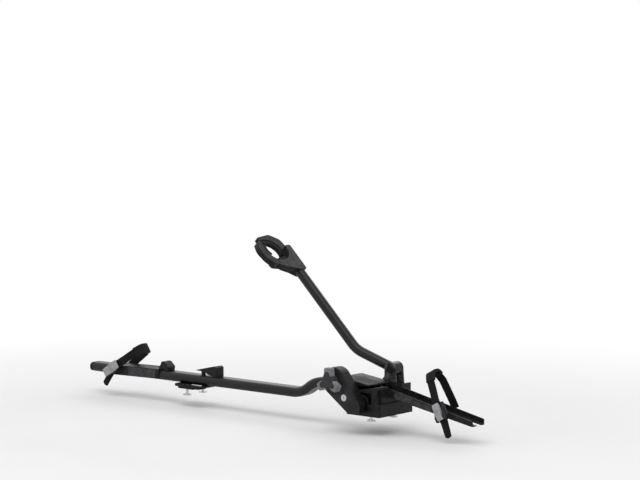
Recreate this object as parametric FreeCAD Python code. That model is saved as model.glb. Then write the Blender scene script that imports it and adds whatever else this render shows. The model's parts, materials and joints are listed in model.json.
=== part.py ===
import FreeCAD
import Part
import math
import os

# Roof mounted bicycle carrier, in millimetres.
# X points to the front of the car, Y to the far side, Z up.
# The origin is the middle of the pad that sits on the front roof bar.

# Rail
rail_width = 49.0
rail_height = 27.0
rail_wall = 2.4
rail_top_flat = 27.0
rail_bottom_flat = 31.0
rail_crease_drop = 1.5
rail_centre_z = 29.5
rail_rear_x = -1100.0
rail_front_x = -6.0
rail_bend_x = -305.0
rail_bend_length = 110.0
rail_rise = 38.0
rail_slot_width = 8.6
rail_slot_rear_x = -1000.0
rail_slot_front_x = -330.0

# Rail end cap
cap_length = 14.0
cap_plug_length = 22.0
cap_plug_clearance = 0.2

# Base block
base_rear_x = -65.0
base_front_x = 44.0
base_near_y = -70.0
base_far_y = 72.0
base_bottom_z = 0.6
base_top_rear_z = 64.0
base_top_front_z = 81.0
base_shell = 4.0
base_corner_radius = 6.0
channel_clearance = 0.3
pocket_x0 = -28.0
pocket_x1 = 17.0
pocket_z0 = 15.0
pocket_depth = 16.0
pocket_z1 = 63.0
pocket_foot_x = 7.0
arch_x = -20.0
arch_z = 32.0
arch_radius = 27.0
arch_wall = 6.0
notch_x = 36.0
notch_y = -57.0
notch_top_z = 74.0
front_step = 2.0
mark_radius = 1.9
flange_height = 35.4
flange_step = 3.0

# Front bar seat and its two slot bolts
seat_length = 60.0
seat_width = 50.0
pad_height = 3.0
bolt_y = 48.0
bolt_radius = 4.0
bolt_clearance = 0.4
bolt_head_x = 20.0
bolt_head_y = 16.0
bolt_head_height = 4.0
bolt_drop = 12.0
bolt_floor_z = 14.0
nut_across = 13.0
nut_height = 6.5
washer_radius = 9.0
washer_height = 1.6

# Cover over the drive between the knob and the arm
cowl_rear_x = -118.0
cowl_front_x = 8.0
cowl_far_y = 27.0
cowl_rear_z = 99.0
cowl_front_z = 83.0
cowl_wall = 2.6
cowl_corner_radius = 7.0

# Knob housing
housing_near_y = -103.0
housing_far_y = -70.0
knob_x = -87.0
knob_z = 91.5
housing_x = -86.5
housing_z = 90.0
housing_big_radius = 38.0
housing_foot_rear_x = -41.7
housing_foot_front_x = 0.5
housing_foot_z = 10.8
housing_nose_x = 2.0
housing_nose_z = 32.0
housing_shell = 3.0
housing_edge = 2.5
recess_radius = 33.5
recess_depth = 1.2
housing_screw_radius = 3.4

# Lock
lock_x = -48.5
lock_z = 49.5
lock_ring_radius = 7.5
lock_ring_lip = 2.0
lock_barrel_radius = 5.6
lock_depth = 18.0
lock_clearance = 0.05
key_slot_length = 7.0
key_slot_width = 1.4

# Knob
knob_gap = 1.0
knob_body_depth = 25.0
knob_cap_depth = 1.5
knob_lobe_reach = 37.0
knob_grip_depth = 19.0
knob_grip_end = 10.5
knob_grip_root = 13.0
knob_grip_corner = 4.5
knob_core_radius = 19.0
knob_cap_reach = 27.0
knob_cap_lobe_radius = 8.5
knob_cap_waist_radius = 15.0
spindle_radius = 6.0
spindle_clearance = 0.05

# Arm and its pivot
pivot_x = 0.0
pivot_z = 116.0
arm_y = 50.0
arm_radius = 14.0
arm_wall = 2.0
arm_angle = 44.6
arm_low_angle = 17.5
arm_corner_distance = 137.5
arm_bend_radius = 90.0
hub_radius = 19.0
hub_width = 27.0
hub_gap = 0.5
ear_thickness = 4.0
bracket_floor_z = 60.0
bracket_plate = 4.0
bracket_front_x = 24.0
bracket_rear_x = -46.0
pin_radius = 6.0
pin_clearance = 0.05
pin_head_radius = 9.5
pin_head_height = 3.0

# Frame holder, laid out in the plane of the arm and the Y axis
holder_start = 247.6
grip_s = 121.0
grip_pad_radius = 32.5
grip_claw_radius = 45.0
face_off = 16.0
cover_thickness = 3.0
palm_low_off = -1.0
root_low_off = -18.0
root_start = 36.0
root_end = 66.0
root_near_y = 24.0
root_far_y = 66.0
layer_gap = 0.5
claw_pin_radius = 4.0
claw_pin_clearance = 0.05
claw_pin_head_radius = 7.0
claw_pin_head_height = 2.5
near_pin_s = 76.0
near_pin_v = 36.0
far_pin_s = 82.0
far_pin_v = -56.0
knuckle_radius = 12.0
claw_layer = 15.5

# Front tray
tray_rear_x = 12.0
tray_front_x = 322.0
tray_angle = 10.45
tray_half_width = 28.5
tray_wall = 3.5
tray_floor = 3.5
tray_low_x = 60.0
tray_low_z = 48.0
tray_rear_height = 24.0
tray_front_height = 14.5
tray_slot_width = 22.0
tray_slot_length = 46.0

# Straps and buckles, each laid out in a plane that leans with the strap
strap_width = 24.0
strap_thickness = 2.6
strap_leg_y = 39.0
strap_tyre_y = 32.0
strap_crown_y = 12.0
front_strap_x = 218.0
front_strap_z = 40.0
front_strap_lean = 61.2
front_strap_top = 100.0
rear_strap_x = -990.0
rear_strap_z = 40.0
rear_strap_lean = 33.9
rear_strap_top = 110.0
rim_pad_thickness = 2.6
rim_pad_overhang = 2.0
sleeve_near_share = 0.08
sleeve_far_share = 0.55
buckle_low = -34.0
buckle_high = 14.0
buckle_half_width = 15.0
cheek_thickness = 2.0
front_lever_half_width = 9.5
rear_lever_half_width = 12.5
lever_pin_y = -48.0
lever_pin_z = -26.0
lever_pin_radius = 2.0
lever_knuckle_radius = 6.2
tail_half_width = 10.0
front_tail_turn = -8.5
rear_tail_turn = 20.0
front_tail_length = 40.0
rear_tail_length = 67.0
front_tail_bend = -38.0
rear_tail_bend = 0.0
front_buckle_drop = 0.0
rear_buckle_drop = 8.0
tail_way_top = -2.0
front_lever_top = 16.0
rear_lever_top = 26.0

# Rear wheel holder
holder_rear_x = -1006.0
holder_front_x = -818.0
holder_half_width = 30.0
holder_low_rear_z = 15.4
holder_low_front_z = 19.5
holder_top_rear_z = 44.9
holder_top_front_z = 48.2
holder_deck = 2.6
holder_clearance = 0.3
chock_rear_x = -828.0
chock_front_x = -789.0
chock_low_z = 36.0
chock_top_z = 70.0
chock_half_width = 15.0
label_thickness = 1.2
rear_label_rear_x = -941.0
rear_label_front_x = -828.0
front_label_rear_x = 64.0
front_label_front_x = 125.0
guide_front_x = 186.0
label_margin = 2.0

# Wedge on the rail
wedge_rear_x = -680.0
wedge_front_x = -597.0
wedge_half_width = 17.0
wedge_tip_z = 56.9
wedge_peak_z = 74.0
wedge_leg_rear_x = -657.0
wedge_leg_front_x = -647.0
wedge_leg_y = -9.5
wedge_leg_depth = 8.0
wedge_hole_front_x = -611.0
wedge_hole_z = 53.0

# Rear bracket
rear_seat_x = -695.0
rear_length = 108.0
rear_plate_shift = 8.0
rear_half_width = 44.0
rear_slab = 7.0
rear_block_half_x = 32.0
rear_block_half_y = 42.0
rear_gap = 0.3
rear_bolt_y = 33.0
rear_seat_length = 60.0
rear_seat_width = 36.0
clamp_margin = 11.0
clamp_radius = 3.8
rear_lever_length = 34.0
rear_lever_width = 9.0
rear_lever_height = 2.6
rear_lever_margin = 7.0

# Height above everything, where a cut runs out
open_z = 200.0

V = FreeCAD.Vector


def box(x0, x1, y0, y1, z0, z1):
    return Part.makeBox(x1 - x0, y1 - y0, z1 - z0, V(x0, y0, z0))


def rod_x(y, z, r, x0, x1):
    return Part.makeCylinder(r, x1 - x0, V(x0, y, z), V(1, 0, 0))


def rod_y(x, z, r, y0, y1):
    return Part.makeCylinder(r, y1 - y0, V(x, y0, z), V(0, 1, 0))


def rod_z(x, y, r, z0, z1):
    return Part.makeCylinder(r, z1 - z0, V(x, y, z0), V(0, 0, 1))


def rounded_wire(corners):
    """Closed wire in the XY plane from (x, y, corner radius) entries."""
    edges = []
    ends = []
    count = len(corners)
    for i in range(count):
        x, y, r = corners[i]
        here = V(x, y, 0)
        back = V(corners[i - 1][0], corners[i - 1][1], 0).sub(here)
        ahead = V(corners[(i + 1) % count][0], corners[(i + 1) % count][1], 0).sub(here)
        back.normalize()
        ahead.normalize()
        if r <= 0:
            ends.append((here, here, None))
            continue
        half = math.acos(max(-1.0, min(1.0, back.dot(ahead)))) / 2
        cut = r / math.tan(half)
        middle = back.add(ahead)
        middle.normalize()
        centre = here.add(middle.multiply(r / math.sin(half)))
        first = here.add(V(back.x * cut, back.y * cut, 0))
        last = here.add(V(ahead.x * cut, ahead.y * cut, 0))
        out = here.sub(centre)
        out.normalize()
        crown = centre.add(out.multiply(r))
        ends.append((first, last, crown))
    for i in range(count):
        first, last, crown = ends[i]
        if crown is not None:
            edges.append(Part.Arc(first, crown, last).toShape())
        following = ends[(i + 1) % count][0]
        if last.sub(following).Length > 1e-6:
            edges.append(Part.LineSegment(last, following).toShape())
    return Part.Wire(edges)


def plate_xy(corners, z0, z1):
    """Rounded outline in X and Y, from z0 to z1."""
    face = Part.Face(rounded_wire(corners))
    solid = face.extrude(V(0, 0, z1 - z0))
    solid.translate(V(0, 0, z0))
    return solid


def plate_xz(corners, y0, y1):
    """Rounded outline in X and Z, from y0 to y1."""
    solid = Part.Face(rounded_wire(corners)).extrude(V(0, 0, -(y1 - y0)))
    solid.rotate(V(0, 0, 0), V(1, 0, 0), 90)
    solid.translate(V(0, y0, 0))
    return solid


def plate_yz(corners, x0, x1):
    """Rounded outline in Y and Z, from x0 to x1."""
    solid = Part.Face(rounded_wire(corners)).extrude(V(0, 0, x1 - x0))
    solid.rotate(V(0, 0, 0), V(1, 0, 0), 90)
    solid.rotate(V(0, 0, 0), V(0, 0, 1), 90)
    solid.translate(V(x0, 0, 0))
    return solid


def fused(shapes):
    whole = shapes[0]
    for shape in shapes[1:]:
        whole = whole.fuse(shape)
    return whole.removeSplitter()


def without(shape, tools):
    for tool in tools:
        shape = shape.cut(tool)
    return shape


def hex_nut(x, y, z0, z1, across, bore):
    reach = across / math.sqrt(3)
    points = [V(x + reach * math.cos(math.radians(60 * i)), y + reach * math.sin(math.radians(60 * i)), z0)
              for i in range(7)]
    solid = Part.Face(Part.makePolygon(points)).extrude(V(0, 0, z1 - z0))
    return solid.cut(rod_z(x, y, bore, z0 - 1, z1 + 1))


nodes = {}

# Rail: a hollow profile with a slot along its underside and a double bend near the base
def rail_profile(inset):
    half = rail_width / 2 - inset
    top = rail_height / 2 - inset
    flat = rail_top_flat / 2 - inset * 0.6
    low = rail_bottom_flat / 2 - inset * 0.6
    crease = rail_crease_drop
    edges = [
        Part.LineSegment(V(0, -flat, top), V(0, flat, top)).toShape(),
        Part.Arc(V(0, flat, top), V(0, half * 0.88, top * 0.70), V(0, half, -crease)).toShape(),
        Part.Arc(V(0, half, -crease), V(0, half * 0.93, -top * 0.66), V(0, low, -top)).toShape(),
        Part.LineSegment(V(0, low, -top), V(0, -low, -top)).toShape(),
        Part.Arc(V(0, -low, -top), V(0, -half * 0.93, -top * 0.66), V(0, -half, -crease)).toShape(),
        Part.Arc(V(0, -half, -crease), V(0, -half * 0.88, top * 0.70), V(0, -flat, top)).toShape(),
    ]
    return Part.Wire(edges)


bend_half = math.atan2(rail_rise, rail_bend_length)
bend_turn = 2 * bend_half
bend_radius = rail_bend_length / 2 / math.sin(bend_turn)
rail_high_z = rail_centre_z + rail_rise


def rail_path(x_start, x_end):
    z = rail_centre_z
    r = bend_radius
    x1 = rail_bend_x
    xm = x1 + rail_bend_length / 2
    x2 = x1 + rail_bend_length
    zm = z + rail_rise / 2
    p1 = V(x1 + r * math.sin(bend_half), 0, z + r * (1 - math.cos(bend_half)))
    p2 = V(x2 - r * math.sin(bend_half), 0, rail_high_z - r * (1 - math.cos(bend_half)))
    return Part.Wire([
        Part.LineSegment(V(x_start, 0, z), V(x1, 0, z)).toShape(),
        Part.Arc(V(x1, 0, z), p1, V(xm, 0, zm)).toShape(),
        Part.Arc(V(xm, 0, zm), p2, V(x2, 0, rail_high_z)).toShape(),
        Part.LineSegment(V(x2, 0, rail_high_z), V(x_end, 0, rail_high_z)).toShape(),
    ])


def rail_sweep(inset, x_start, x_end):
    profile = rail_profile(inset)
    profile.translate(V(x_start, 0, rail_centre_z))
    return rail_path(x_start, x_end).makePipeShell([profile], True, False)


rail = rail_sweep(0, rail_rear_x, rail_front_x).cut(rail_sweep(rail_wall, rail_rear_x - 1, rail_front_x + 1))
rail_low_z = rail_centre_z - rail_height / 2
rail_top_z = rail_centre_z + rail_height / 2
rail_high_low = rail_high_z - rail_height / 2
rail_high_top = rail_high_z + rail_height / 2
rail_slot = box(rail_slot_rear_x, rail_slot_front_x, -rail_slot_width / 2, rail_slot_width / 2,
                rail_low_z - 1, rail_low_z + rail_wall + 1)
rail = rail.cut(rail_slot)
nodes["rail"] = rail

# Rail end cap: a domed plug in the rear end of the rail
cap_face = Part.Face(rail_profile(0.6))
cap_body = cap_face.extrude(V(-cap_length, 0, 0))
cap_body.translate(V(rail_rear_x, 0, rail_centre_z))
cap_edges = [e for e in cap_body.Edges if e.CenterOfMass.x < rail_rear_x - cap_length + 0.1]
cap_body = cap_body.makeFillet(4.5, cap_edges)
cap_plug = Part.Face(rail_profile(rail_wall + cap_plug_clearance)).extrude(V(cap_plug_length, 0, 0))
cap_plug.translate(V(rail_rear_x, 0, rail_centre_z))
cap_hollow = Part.Face(rail_profile(rail_wall + cap_plug_clearance + 2.0)).extrude(V(cap_plug_length, 0, 0))
cap_hollow.translate(V(rail_rear_x + 2, 0, rail_centre_z))
nodes["rail_end_cap"] = fused([cap_body, cap_plug]).cut(cap_hollow)

# Base block: a moulded tub with a channel for the rail, a far shoulder for the arm and a ribbed near face
channel_half = rail_width / 2 + channel_clearance
tray_channel_half = tray_half_width + channel_clearance
channel_floor_z = rail_high_low
base_outline = [
    (base_rear_x, base_near_y, base_corner_radius), (base_front_x, base_near_y, base_corner_radius),
    (base_front_x, base_far_y, base_corner_radius), (base_rear_x, base_far_y, base_corner_radius),
]
base_side = [
    (base_rear_x - 1, base_bottom_z, 0), (base_front_x + 1, base_bottom_z, 0),
    (base_front_x + 1, base_top_front_z, 0), (base_rear_x - 1, base_top_rear_z, 0),
]
base = plate_xy(base_outline, base_bottom_z, base_top_front_z + 10)
base = base.common(plate_xz(base_side, base_near_y - 1, base_far_y + 1))
inner_outline = [
    (base_rear_x + base_shell, base_near_y + base_shell, 2), (base_front_x - base_shell, base_near_y + base_shell, 2),
    (base_front_x - base_shell, base_far_y - base_shell, 2), (base_rear_x + base_shell, base_far_y - base_shell, 2),
]
inside = plate_xy(inner_outline, base_bottom_z - 1, channel_floor_z - base_shell)
floor_block = box(-bolt_head_x, bolt_head_x, base_near_y + 1, base_far_y - 1, base_bottom_z, bolt_floor_z)
floor_block = floor_block.common(plate_xy(base_outline, base_bottom_z, base_top_front_z))
core_block = box(-seat_length / 2 - base_shell, seat_length / 2 + base_shell, -seat_width / 2 - base_shell,
                 seat_width / 2 + base_shell, base_bottom_z, channel_floor_z - 1)
base = fused([base.cut(inside), floor_block, core_block])
rail_channel = box(base_rear_x - 2, rail_front_x + 2, -channel_half, channel_half, channel_floor_z, open_z)


def tray_low(x):
    return tray_low_z - (x - tray_low_x) * math.tan(math.radians(tray_angle))


tray_channel = plate_xz([
    (rail_front_x + 2, tray_low(rail_front_x + 2), 0), (base_front_x + flange_step + 2,
                                                        tray_low(base_front_x + flange_step + 2), 0),
    (base_front_x + flange_step + 2, open_z, 0), (rail_front_x + 2, open_z, 0)], -tray_channel_half, tray_channel_half)
shoulder_cut = box(base_rear_x - 2, bracket_front_x + 3, arm_y - hub_width / 2 - ear_thickness - hub_gap - 1.2,
                   base_far_y + 1, bracket_floor_z, open_z)
pad_seat = box(-seat_length / 2, seat_length / 2, -seat_width / 2, seat_width / 2, 0, pad_height)
base = without(base, [rail_channel, tray_channel, shoulder_cut, pad_seat])
skirt_y = base_near_y - flange_step
skirt_top_z = base_bottom_z + flange_height
pocket_back_y = base_near_y + pocket_depth
pocket = box(pocket_x0, pocket_x1, skirt_y - 1, pocket_back_y, pocket_z0, pocket_z1)
pocket_lining = box(pocket_x0 - base_shell, pocket_x1 + base_shell, base_near_y + 0.5, pocket_back_y + base_shell,
                    pocket_z0 - base_shell, channel_floor_z - 1)
notch = box(notch_x, base_front_x + flange_step + 1, skirt_y - 1, notch_y, skirt_top_z, notch_top_z)
notch_lining = box(notch_x - base_shell, base_front_x - front_step, base_near_y + 0.5, notch_y + base_shell,
                   skirt_top_z - base_shell, channel_floor_z - 1)
front_cut = box(base_front_x - front_step, base_front_x + 1, base_near_y - 1, base_far_y + 1, skirt_top_z, notch_top_z)
flange_outline = [
    (base_rear_x - flange_step, base_near_y - flange_step, base_corner_radius),
    (base_front_x + flange_step, base_near_y - flange_step, base_corner_radius),
    (base_front_x + flange_step, base_far_y + flange_step, base_corner_radius),
    (base_rear_x - flange_step, base_far_y + flange_step, base_corner_radius),
]
flange = plate_xy(flange_outline, base_bottom_z, skirt_top_z)
flange = flange.cut(plate_xy(inner_outline, base_bottom_z - 1, skirt_top_z + 1))
base = without(fused([base, pocket_lining, notch_lining, flange]), [pocket, notch, front_cut])
arch = rod_y(arch_x, arch_z, arch_radius, base_near_y + 1, pocket_back_y + 1)
arch = arch.fuse(box(arch_x - arch_radius, arch_x + arch_radius, base_near_y + 1, pocket_back_y + 1, pocket_z0 - 1,
                     arch_z))
arch_room = rod_y(arch_x, arch_z, arch_radius - arch_wall, base_near_y - 1, pocket_back_y)
arch_room = arch_room.fuse(box(arch_x - arch_radius + arch_wall, arch_x + arch_radius - arch_wall, base_near_y - 1,
                               pocket_back_y, pocket_z0, arch_z))
arch = arch.cut(arch_room).common(box(pocket_x0 - 1, pocket_x1, base_near_y, pocket_back_y + 1, 0, open_z))
pocket_foot = box(pocket_foot_x, pocket_x1 + 1, skirt_y, pocket_back_y + 1, pocket_z0 - 1, arch_z)
mark_x = (pocket_x1 + notch_x) / 2 - 5
marks = [rod_y(mark_x, skirt_top_z + 2.5, mark_radius, base_near_y - 0.8, base_near_y + 1),
         rod_y(mark_x, pocket_z0 + 3, mark_radius, skirt_y - 0.8, skirt_y + 1)]
base = fused([base, arch, pocket_foot] + marks)
bolt_holes = []
for side in (-1, 1):
    bolt_holes.append(rod_z(0, side * bolt_y, bolt_radius + bolt_clearance, base_bottom_z - 2, bolt_floor_z + 2))
    bolt_holes.append(rod_z(0, side * bolt_y, washer_radius + 4, bolt_floor_z, channel_floor_z - base_shell))
base = without(base, bolt_holes)

# Pivot bracket: a steel channel on the far shoulder with two ears for the arm
ear_inner = hub_width / 2 + hub_gap
ear_outer = ear_inner + ear_thickness
bracket_outline = [
    (bracket_rear_x, bracket_floor_z, 3), (bracket_front_x, bracket_floor_z, 3),
    (pivot_x + hub_radius, pivot_z - 6, 12), (pivot_x + hub_radius, pivot_z + hub_radius, hub_radius - 0.5),
    (pivot_x - hub_radius, pivot_z + hub_radius, hub_radius - 0.5), (pivot_x - hub_radius, pivot_z - 22, 14),
    (bracket_rear_x, bracket_floor_z + 12, 3),
]
pivot_bracket = plate_xz(bracket_outline, arm_y - ear_outer, arm_y + ear_outer)
gap_z = bracket_floor_z + bracket_plate
pivot_bracket = pivot_bracket.cut(box(bracket_rear_x - 5, bracket_front_x + 5, arm_y - ear_inner, arm_y + ear_inner,
                                      gap_z, pivot_z + hub_radius + 5))
pin_bore = rod_y(pivot_x, pivot_z, pin_radius, arm_y - ear_outer - 1, arm_y + ear_outer + 1)
pivot_bracket = pivot_bracket.cut(pin_bore)
fixing_x = (bracket_rear_x + 10, bracket_front_x - 10)
fixing_radius = 3.0
fixings = []
for x in fixing_x:
    pivot_bracket = pivot_bracket.cut(rod_z(x, arm_y, fixing_radius, bracket_floor_z - 1, gap_z + 1))
    base = base.cut(rod_z(x, arm_y, fixing_radius, bracket_floor_z - 10, bracket_floor_z + 1))
    boss = rod_z(x, arm_y, fixing_radius + 4, bracket_floor_z - 12, bracket_floor_z)
    base = base.fuse(boss.cut(rod_z(x, arm_y, fixing_radius, bracket_floor_z - 10, bracket_floor_z + 1)))
    screw = rod_z(x, arm_y, fixing_radius, bracket_floor_z - 10, gap_z).fuse(
        Part.makeCone(fixing_radius + 3, fixing_radius + 1.6, 2.4, V(x, arm_y, gap_z)))
    fixings.append(screw.removeSplitter())
base = base.removeSplitter()
nodes["base_housing"] = base
nodes["pivot_bracket"] = pivot_bracket
nodes["bracket_screws"] = Part.makeCompound(fixings)
pin = rod_y(pivot_x, pivot_z, pin_radius, arm_y - ear_outer, arm_y + ear_outer)
pin_heads = [
    rod_y(pivot_x, pivot_z, pin_head_radius, arm_y - ear_outer - pin_head_height, arm_y - ear_outer),
    rod_y(pivot_x, pivot_z, pin_head_radius, arm_y + ear_outer, arm_y + ear_outer + pin_head_height),
]
nodes["pivot_pin"] = fused([pin] + pin_heads)

# Pad under the base, slot bolts, washers and nuts
nodes["front_bar_pad"] = plate_xy([
    (-seat_length / 2, -seat_width / 2, 5), (seat_length / 2, -seat_width / 2, 5),
    (seat_length / 2, seat_width / 2, 5), (-seat_length / 2, seat_width / 2, 5)], 0, pad_height)


def slot_bolt(x, y, z_low, z_high):
    head = plate_xy([
        (x - bolt_head_x / 2, y - bolt_head_y / 2, 2), (x + bolt_head_x / 2, y - bolt_head_y / 2, 2),
        (x + bolt_head_x / 2, y + bolt_head_y / 2, 2), (x - bolt_head_x / 2, y + bolt_head_y / 2, 2),
    ], z_low, z_low + bolt_head_height)
    return fused([head, rod_z(x, y, bolt_radius, z_low + bolt_head_height, z_high)])


bolt_end_z = bolt_floor_z + washer_height + nut_height + 3
nodes["front_slot_bolts"] = Part.makeCompound(
    [slot_bolt(0, side * bolt_y, -bolt_drop - bolt_head_height, bolt_end_z) for side in (-1, 1)])


def washer(x, y, z):
    return rod_z(x, y, washer_radius, z, z + washer_height).cut(rod_z(x, y, bolt_radius + 0.2, z - 1, z + 3))


nodes["front_washers"] = Part.makeCompound([washer(0, side * bolt_y, bolt_floor_z) for side in (-1, 1)])
nodes["front_nuts"] = Part.makeCompound([
    hex_nut(0, side * bolt_y, bolt_floor_z + washer_height, bolt_floor_z + washer_height + nut_height, nut_across,
            bolt_radius) for side in (-1, 1)])

# Cover between the knob housing and the arm, over the rail and the near shoulder
cowl_low = rail_high_top + channel_clearance
cowl_outline = [
    (cowl_rear_x, 62, 4), (base_rear_x - 4, 62, 0), (base_rear_x - 4, cowl_low - 2, 0), (cowl_front_x, cowl_low, 0),
    (cowl_front_x, cowl_front_z + 2, 3), (cowl_rear_x + 22, cowl_rear_z, 20), (cowl_rear_x, cowl_rear_z - 14, 8),
]
cowl = plate_xz(cowl_outline, housing_far_y + 0.2, cowl_far_y)
cowl_side = [
    (housing_far_y + 0.2, 50, 0), (cowl_far_y, 50, 0), (cowl_far_y, cowl_rear_z + 1, cowl_corner_radius),
    (housing_far_y + 0.2, cowl_rear_z + 1, 2),
]
cowl = cowl.common(plate_yz(cowl_side, cowl_rear_x - 1, cowl_front_x + 1))
cowl_inside = box(cowl_rear_x + cowl_wall, base_rear_x - 4 - cowl_wall, housing_far_y + 0.2 + cowl_wall,
                  cowl_far_y - cowl_wall, 55, cowl_low + 3)
rail_pass = box(cowl_rear_x - 1, cowl_front_x + 1, -channel_half, channel_half, 40, cowl_low)
shoulder_top = plate_xz([
    (base_rear_x - 6, 40, 0), (base_front_x + 4, 40, 0), (base_front_x + 4, base_top_front_z + 0.9, 0),
    (base_front_x, base_top_front_z + 0.2, 0), (base_rear_x - 1, base_top_rear_z + 0.2, 0),
    (base_rear_x - 6, base_top_rear_z + 0.2, 0)], base_near_y - 1, cowl_far_y + 1)
cowl = without(cowl, [cowl_inside, rail_pass, shoulder_top])
nodes["drive_cover"] = cowl


# Knob housing: a drop shaped cover on the near side, round about the knob and cut flat near the bar
def tangent_point(px, pz, cx, cz, r, sign):
    dx = cx - px
    dz = cz - pz
    far = math.hypot(dx, dz)
    turn = math.asin(r / far)
    angle = math.atan2(dz, dx) + sign * turn
    length = math.sqrt(far * far - r * r)
    return px + length * math.cos(angle), pz + length * math.sin(angle)


def housing_face(inset):
    r = housing_big_radius - inset
    low_x = housing_foot_rear_x + inset * 1.2
    low_z = housing_foot_z + inset
    end_x = housing_foot_front_x - inset
    nose_x = housing_nose_x - inset
    top_x, top_z = tangent_point(nose_x, housing_nose_z, housing_x, housing_z, r, -1)
    under_x, under_z = tangent_point(low_x, low_z, housing_x, housing_z, r, 1)
    crown_x = housing_x - r * math.cos(math.radians(40))
    crown_z = housing_z + r * math.sin(math.radians(40))
    edges = [
        Part.LineSegment(V(low_x, 0, low_z), V(end_x, 0, low_z)).toShape(),
        Part.LineSegment(V(end_x, 0, low_z), V(nose_x, 0, housing_nose_z)).toShape(),
        Part.LineSegment(V(nose_x, 0, housing_nose_z), V(top_x, 0, top_z)).toShape(),
        Part.Arc(V(top_x, 0, top_z), V(crown_x, 0, crown_z), V(under_x, 0, under_z)).toShape(),
        Part.LineSegment(V(under_x, 0, under_z), V(low_x, 0, low_z)).toShape(),
    ]
    return Part.Face(Part.Wire(edges))


def housing_solid(inset, y0, y1):
    face = housing_face(inset)
    face.translate(V(0, y0, 0))
    return face.extrude(V(0, y1 - y0, 0))


lock_bore = lock_ring_radius + lock_clearance
spindle_bore = spindle_radius + spindle_clearance
housing_body_near = housing_near_y + housing_shell
shell_outer = housing_solid(0, housing_body_near, housing_far_y)
shell_inner = housing_solid(housing_shell, housing_body_near - 1, housing_far_y - housing_shell - flange_step)
spindle_sleeve = rod_y(knob_x, knob_z, spindle_radius + 5, housing_body_near, housing_far_y - 1)
lock_sleeve = rod_y(lock_x, lock_z, lock_ring_radius + 3, housing_body_near, housing_far_y - 1)
housing = fused([shell_outer.cut(shell_inner), spindle_sleeve, lock_sleeve])
screw_spots = ((housing_foot_rear_x + 4.7, housing_foot_z + 15), (housing_foot_rear_x + 5.7, housing_foot_z + 33))
for x, z in screw_spots:
    housing = housing.fuse(rod_y(x, z, housing_screw_radius + 2, housing_body_near, housing_far_y - 2))
skirt_room = box(base_rear_x - flange_step - 1, base_front_x + 10, base_near_y - flange_step - 0.3, base_near_y + 1,
                 0, base_bottom_z + flange_height + 0.3)
housing = housing.removeSplitter().cut(skirt_room)
housing_front = housing_solid(0, housing_near_y, housing_body_near)
front_edges = [e for e in housing_front.Edges if abs(e.CenterOfMass.y - housing_near_y) < 0.01]
housing_front = housing_front.makeFillet(housing_edge, front_edges)
recess = rod_y(housing_x, housing_z, recess_radius, housing_near_y - 1, housing_near_y + recess_depth)
housing_front = housing_front.cut(recess)
for shape_bore in (rod_y(knob_x, knob_z, spindle_bore, housing_near_y - 1, housing_far_y + 1),
                   rod_y(lock_x, lock_z, lock_bore, housing_near_y - 1, housing_near_y + lock_depth + 1)):
    housing = housing.cut(shape_bore)
    housing_front = housing_front.cut(shape_bore)
housing_screws = []
screw_core = 1.6
screw_seat_y = base_near_y + base_shell
for x, z in screw_spots:
    bore = rod_y(x, z, screw_core, housing_far_y - 16, screw_seat_y + 1)
    housing = housing.cut(bore)
    nodes["base_housing"] = nodes["base_housing"].cut(bore)
    screw = rod_y(x, z, screw_core, housing_far_y - 15, screw_seat_y).fuse(
        rod_y(x, z, housing_screw_radius, screw_seat_y, screw_seat_y + 2.2))
    housing_screws.append(screw.removeSplitter())
nodes["knob_housing"] = housing
nodes["housing_front"] = housing_front
nodes["housing_screws"] = Part.makeCompound(housing_screws)

# Lock: a fixed ring and a barrel that turns in it
ring = rod_y(lock_x, lock_z, lock_ring_radius, housing_near_y - lock_ring_lip, housing_near_y + lock_depth)
ring = ring.fuse(rod_y(lock_x, lock_z, lock_ring_radius + 1.4, housing_near_y - lock_ring_lip, housing_near_y))
ring = ring.removeSplitter().cut(rod_y(lock_x, lock_z, lock_barrel_radius + lock_clearance,
                                       housing_near_y - lock_ring_lip - 1, housing_near_y + lock_depth - 2))
nodes["lock_ring"] = ring
barrel = rod_y(lock_x, lock_z, lock_barrel_radius, housing_near_y - lock_ring_lip - 0.6,
               housing_near_y + lock_depth - 2)
key_slot = box(lock_x - key_slot_width / 2, lock_x + key_slot_width / 2, housing_near_y - lock_ring_lip - 2,
               housing_near_y + lock_depth - 6, lock_z - key_slot_length / 2, lock_z + key_slot_length / 2)
nodes["lock_barrel"] = barrel.cut(key_slot)

# Knob: a core with three grips on it, a cap in front and the spindle that it turns
lobe_angles = (90, 210, 330)


def lobe_bar(degrees, reach, lobe, root, y0, y1):
    """One lobe with straight sides that run in towards the knob's axis."""
    c = math.cos(math.radians(degrees))
    s = math.sin(math.radians(degrees))
    cx = knob_x + (reach - lobe) * c
    cz = knob_z + (reach - lobe) * s
    web = Part.makePolygon([
        V(cx - lobe * s, y0, cz + lobe * c), V(cx + lobe * s, y0, cz - lobe * c),
        V(knob_x + root * s, y0, knob_z - root * c), V(knob_x - root * s, y0, knob_z + root * c),
        V(cx - lobe * s, y0, cz + lobe * c)])
    return fused([rod_y(cx, cz, lobe, y0, y1), Part.Face(web).extrude(V(0, y1 - y0, 0))])


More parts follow.
